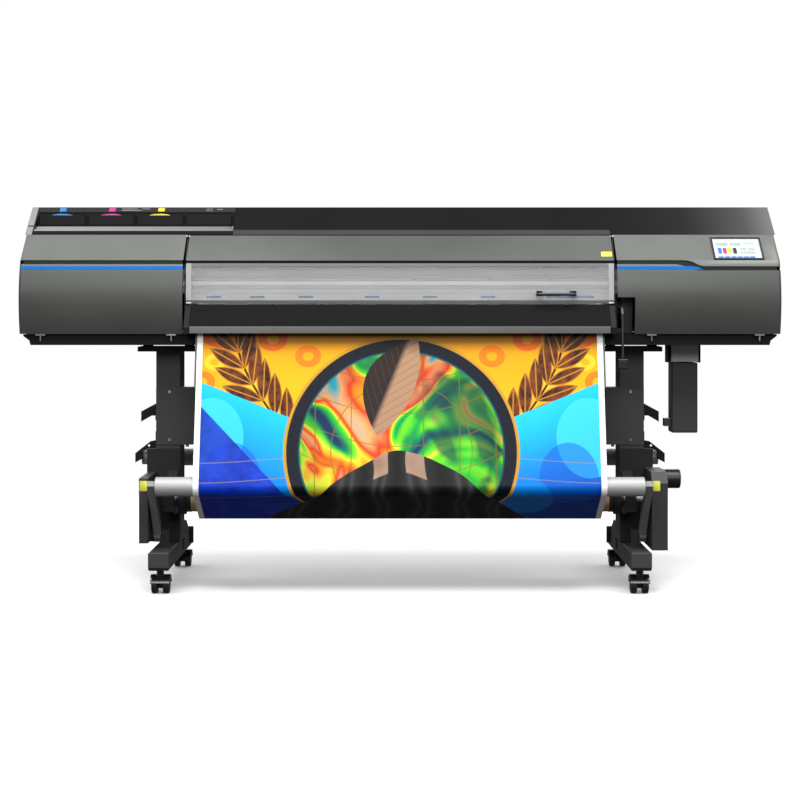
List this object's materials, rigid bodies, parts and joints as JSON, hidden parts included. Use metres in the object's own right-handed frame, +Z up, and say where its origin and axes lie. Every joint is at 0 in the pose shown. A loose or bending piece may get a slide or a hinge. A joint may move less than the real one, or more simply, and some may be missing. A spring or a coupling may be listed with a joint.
{
  "type": "printer cutter",
  "caption": "Wide roll-fed printer and contour cutter on a wheeled stand, with supply roll, powered take-up, swinging dancer bar and a printed film loaded.",
  "frame": {"origin": "on the floor, under the centre of the machine's bounding box", "axes": "+X to the operator's right along the machine's length, +Y from the operator's side to the rear, +Z up"},
  "size_m": [2.596, 0.7476, 1.314],
  "materials": {
    "cover_grey": "satin",
    "trim_dark": "matte",
    "accent_blue": "gloss",
    "panel_black": "gloss",
    "apron_black": "gloss",
    "screen": "gloss",
    "chassis_black": "satin",
    "frame_steel": "satin",
    "rail_alu": "satin",
    "platen_alu": "satin",
    "guide_grey": "satin",
    "printed_film": "gloss",
    "bracket_black": "satin",
    "case_dark": "satin",
    "motor_black": "satin",
    "stand_dark": "satin",
    "zinc_steel": "satin",
    "lip_grey": "satin",
    "top_black": "gloss",
    "bay_grey": "satin",
    "light_grey": "satin",
    "inside_mixed": "matte",
    "belt_rubber": "matte",
    "window_glass": "gloss",
    "handle_black": "satin",
    "tray_dark": "satin",
    "lever_black": "satin",
    "pinch_black": "satin",
    "pinch_rubber": "matte",
    "grit_steel": "satin",
    "pinion_brass": "satin",
    "carriage_black": "satin",
    "cutter_steel": "satin",
    "dancer_alu": "satin",
    "arm_grey": "satin",
    "film_back": "satin",
    "card_core": "matte",
    "flange_black": "satin",
    "shaft_steel": "satin",
    "hood_black": "gloss",
    "wheel_black": "satin",
    "bottle_dark": "satin",
    "switch_black": "gloss"
  },
  "bodies": {
    "machine": {"left_cover": "cover_grey", "right_cover": "cover_grey", "parting_trim": "trim_dark", "accent_stripes": "accent_blue", "panel_bezel": "panel_black", "touch_screen": "screen", "chassis": "chassis_black", "side_frames": "frame_steel", "guide_rail": "rail_alu", "platen": "platen_alu", "feed_guides": "guide_grey", "media_web": "printed_film", "web_brackets": "bracket_black", "takeup_cases": "case_dark", "motors": "motor_black", "stand_frame": "stand_dark", "cross_beam": "stand_dark", "fasteners": "zinc_steel", "front_apron_panel": "apron_black", "front_apron_lip": "lip_grey", "rear_cover": "top_black", "ink_bay": "bay_grey", "bay_cheek": "cover_grey", "bottle_bracket": "light_grey", "internals": "inside_mixed", "belt_and_pulleys": "belt_rubber"},
    "front_lid": {"front_cover": "cover_grey", "front_window": "window_glass", "cover_handle": "handle_black"},
    "tray_cyan": {"ink_tray_cyan": "tray_dark"},
    "tray_magenta": {"ink_tray_magenta": "tray_dark"},
    "tray_yellow": {"ink_tray_yellow": "tray_dark"},
    "tray_black": {"ink_tray_black": "tray_dark"},
    "lever": {"loading_lever": "lever_black"},
    "pinch_frame": {"pinch_arms": "pinch_black"},
    "pinch_wheels": {"pinch_rollers": "pinch_rubber"},
    "feed_shaft": {"grit_shaft": "grit_steel"},
    "feed_drive_pinion": {"feed_pinion": "pinion_brass"},
    "carriage": {"tool_carriage": "carriage_black"},
    "cutter": {"cutter_holder": "cutter_steel"},
    "dancer": {"dancer_tube": "dancer_alu", "dancer_arms": "arm_grey"},
    "takeup": {"takeup_roll": "film_back", "takeup_core": "card_core", "takeup_flanges": "flange_black", "takeup_shafts": "shaft_steel"},
    "takeup_drive_pinion": {"takeup_pinion": "pinion_brass"},
    "supply": {"supply_roll": "film_back", "supply_flanges": "flange_black", "supply_shaft": "shaft_steel"},
    "caster_front_left": {"caster_hood_front_left": "hood_black"},
    "wheels_front_left": {"caster_wheels_front_left": "wheel_black"},
    "caster_front_right": {"caster_hood_front_right": "hood_black"},
    "wheels_front_right": {"caster_wheels_front_right": "wheel_black"},
    "caster_rear_left": {"caster_hood_rear_left": "hood_black"},
    "wheels_rear_left": {"caster_wheels_rear_left": "wheel_black"},
    "caster_rear_right": {"caster_hood_rear_right": "hood_black"},
    "wheels_rear_right": {"caster_wheels_rear_right": "wheel_black"},
    "bottle": {"waste_bottle": "bottle_dark"},
    "switch": {"power_switch": "switch_black"}
  },
  "joints": [
    {"name": "front_lid_lift", "type": "hinge", "parent": "machine", "child": "front_lid", "pos_m": [0, -0.101, 1.2065], "axis": [-1, 0, 0], "range_deg": [0, 70]},
    {"name": "tray_cyan_slide", "type": "slide", "parent": "machine", "child": "tray_cyan", "axis": [0, -1, 0], "range_m": [0, 0.14]},
    {"name": "tray_magenta_slide", "type": "slide", "parent": "machine", "child": "tray_magenta", "axis": [0, -1, 0], "range_m": [0, 0.14]},
    {"name": "tray_yellow_slide", "type": "slide", "parent": "machine", "child": "tray_yellow", "axis": [0, -1, 0], "range_m": [0, 0.14]},
    {"name": "tray_black_slide", "type": "slide", "parent": "machine", "child": "tray_black", "axis": [0, -1, 0], "range_m": [0, 0.14]},
    {"name": "loading_lever_lift", "type": "hinge", "parent": "machine", "child": "lever", "pos_m": [0.7535, -0.12, 0.96], "axis": [-1, 0, 0], "range_deg": [0, 19]},
    {"name": "pinch_lift", "type": "hinge", "parent": "machine", "child": "pinch_frame", "pos_m": [0, 0.02, 0.996], "axis": [-1, 0, 0], "range_deg": [0, 3]},
    {"name": "pinch_spin", "type": "hinge", "parent": "pinch_frame", "child": "pinch_wheels", "pos_m": [0, -0.06, 0.9822], "axis": [1, 0, 0], "continuous": true},
    {"name": "feed_spin", "type": "hinge", "parent": "machine", "child": "feed_shaft", "pos_m": [0, -0.06, 0.9586], "axis": [1, 0, 0], "continuous": true},
    {"name": "feed_pinion_spin", "type": "hinge", "parent": "machine", "child": "feed_drive_pinion", "pos_m": [0.777, 0.0115, 0.9586], "axis": [1, 0, 0], "continuous": true},
    {"name": "carriage_travel", "type": "slide", "parent": "machine", "child": "carriage", "axis": [-1, 0, 0], "range_m": [0, 1.82]},
    {"name": "cutter_drop", "type": "slide", "parent": "carriage", "child": "cutter", "axis": [0, 0, -1], "range_m": [0, 0.0035]},
    {"name": "dancer_swing", "type": "hinge", "parent": "machine", "child": "dancer", "pos_m": [0, -0.18, 0.183], "axis": [-1, 0, 0], "range_deg": [0, 22]},
    {"name": "takeup_spin", "type": "hinge", "parent": "machine", "child": "takeup", "pos_m": [0, -0.16, 0.307], "axis": [1, 0, 0], "continuous": true},
    {"name": "takeup_pinion_spin", "type": "hinge", "parent": "machine", "child": "takeup_drive_pinion", "pos_m": [0.868, -0.13004, 0.37192], "axis": [1, 0, 0], "continuous": true},
    {"name": "supply_spin", "type": "hinge", "parent": "machine", "child": "supply", "pos_m": [0, 0.266, 0.411], "axis": [1, 0, 0], "continuous": true},
    {"name": "caster_front_left_swivel", "type": "hinge", "parent": "machine", "child": "caster_front_left", "pos_m": [-0.805, -0.276, 0.08], "axis": [0, 0, 1], "continuous": true},
    {"name": "wheels_front_left_spin", "type": "hinge", "parent": "caster_front_left", "child": "wheels_front_left", "pos_m": [-0.805, -0.262, 0.03], "axis": [1, 0, 0], "continuous": true},
    {"name": "caster_front_right_swivel", "type": "hinge", "parent": "machine", "child": "caster_front_right", "pos_m": [0.805, -0.276, 0.08], "axis": [0, 0, 1], "continuous": true},
    {"name": "wheels_front_right_spin", "type": "hinge", "parent": "caster_front_right", "child": "wheels_front_right", "pos_m": [0.805, -0.262, 0.03], "axis": [1, 0, 0], "continuous": true},
    {"name": "caster_rear_left_swivel", "type": "hinge", "parent": "machine", "child": "caster_rear_left", "pos_m": [-0.805, 0.324, 0.08], "axis": [0, 0, 1], "continuous": true},
    {"name": "wheels_rear_left_spin", "type": "hinge", "parent": "caster_rear_left", "child": "wheels_rear_left", "pos_m": [-0.805, 0.338, 0.03], "axis": [1, 0, 0], "continuous": true},
    {"name": "caster_rear_right_swivel", "type": "hinge", "parent": "machine", "child": "caster_rear_right", "pos_m": [0.805, 0.324, 0.08], "axis": [0, 0, 1], "continuous": true},
    {"name": "wheels_rear_right_spin", "type": "hinge", "parent": "caster_rear_right", "child": "wheels_rear_right", "pos_m": [0.805, 0.338, 0.03], "axis": [1, 0, 0], "continuous": true},
    {"name": "bottle_release", "type": "slide", "parent": "machine", "child": "bottle", "axis": [0, 0, -1], "range_m": [0, 0.06]},
    {"name": "power_switch_press", "type": "slide", "parent": "machine", "child": "switch", "axis": [0, -1, 0], "range_m": [0, 0.003], "stiffness_N_per_m": 400}
  ],
  "couplings": [
    {"joint": "pinch_lift", "follows": "loading_lever_lift", "ratio": 0.1579},
    {"joint": "pinch_spin", "follows": "feed_spin", "ratio": -1.625},
    {"joint": "feed_pinion_spin", "follows": "feed_spin", "ratio": -2.5185},
    {"joint": "takeup_pinion_spin", "follows": "takeup_spin", "ratio": -2.5185}
  ]
}
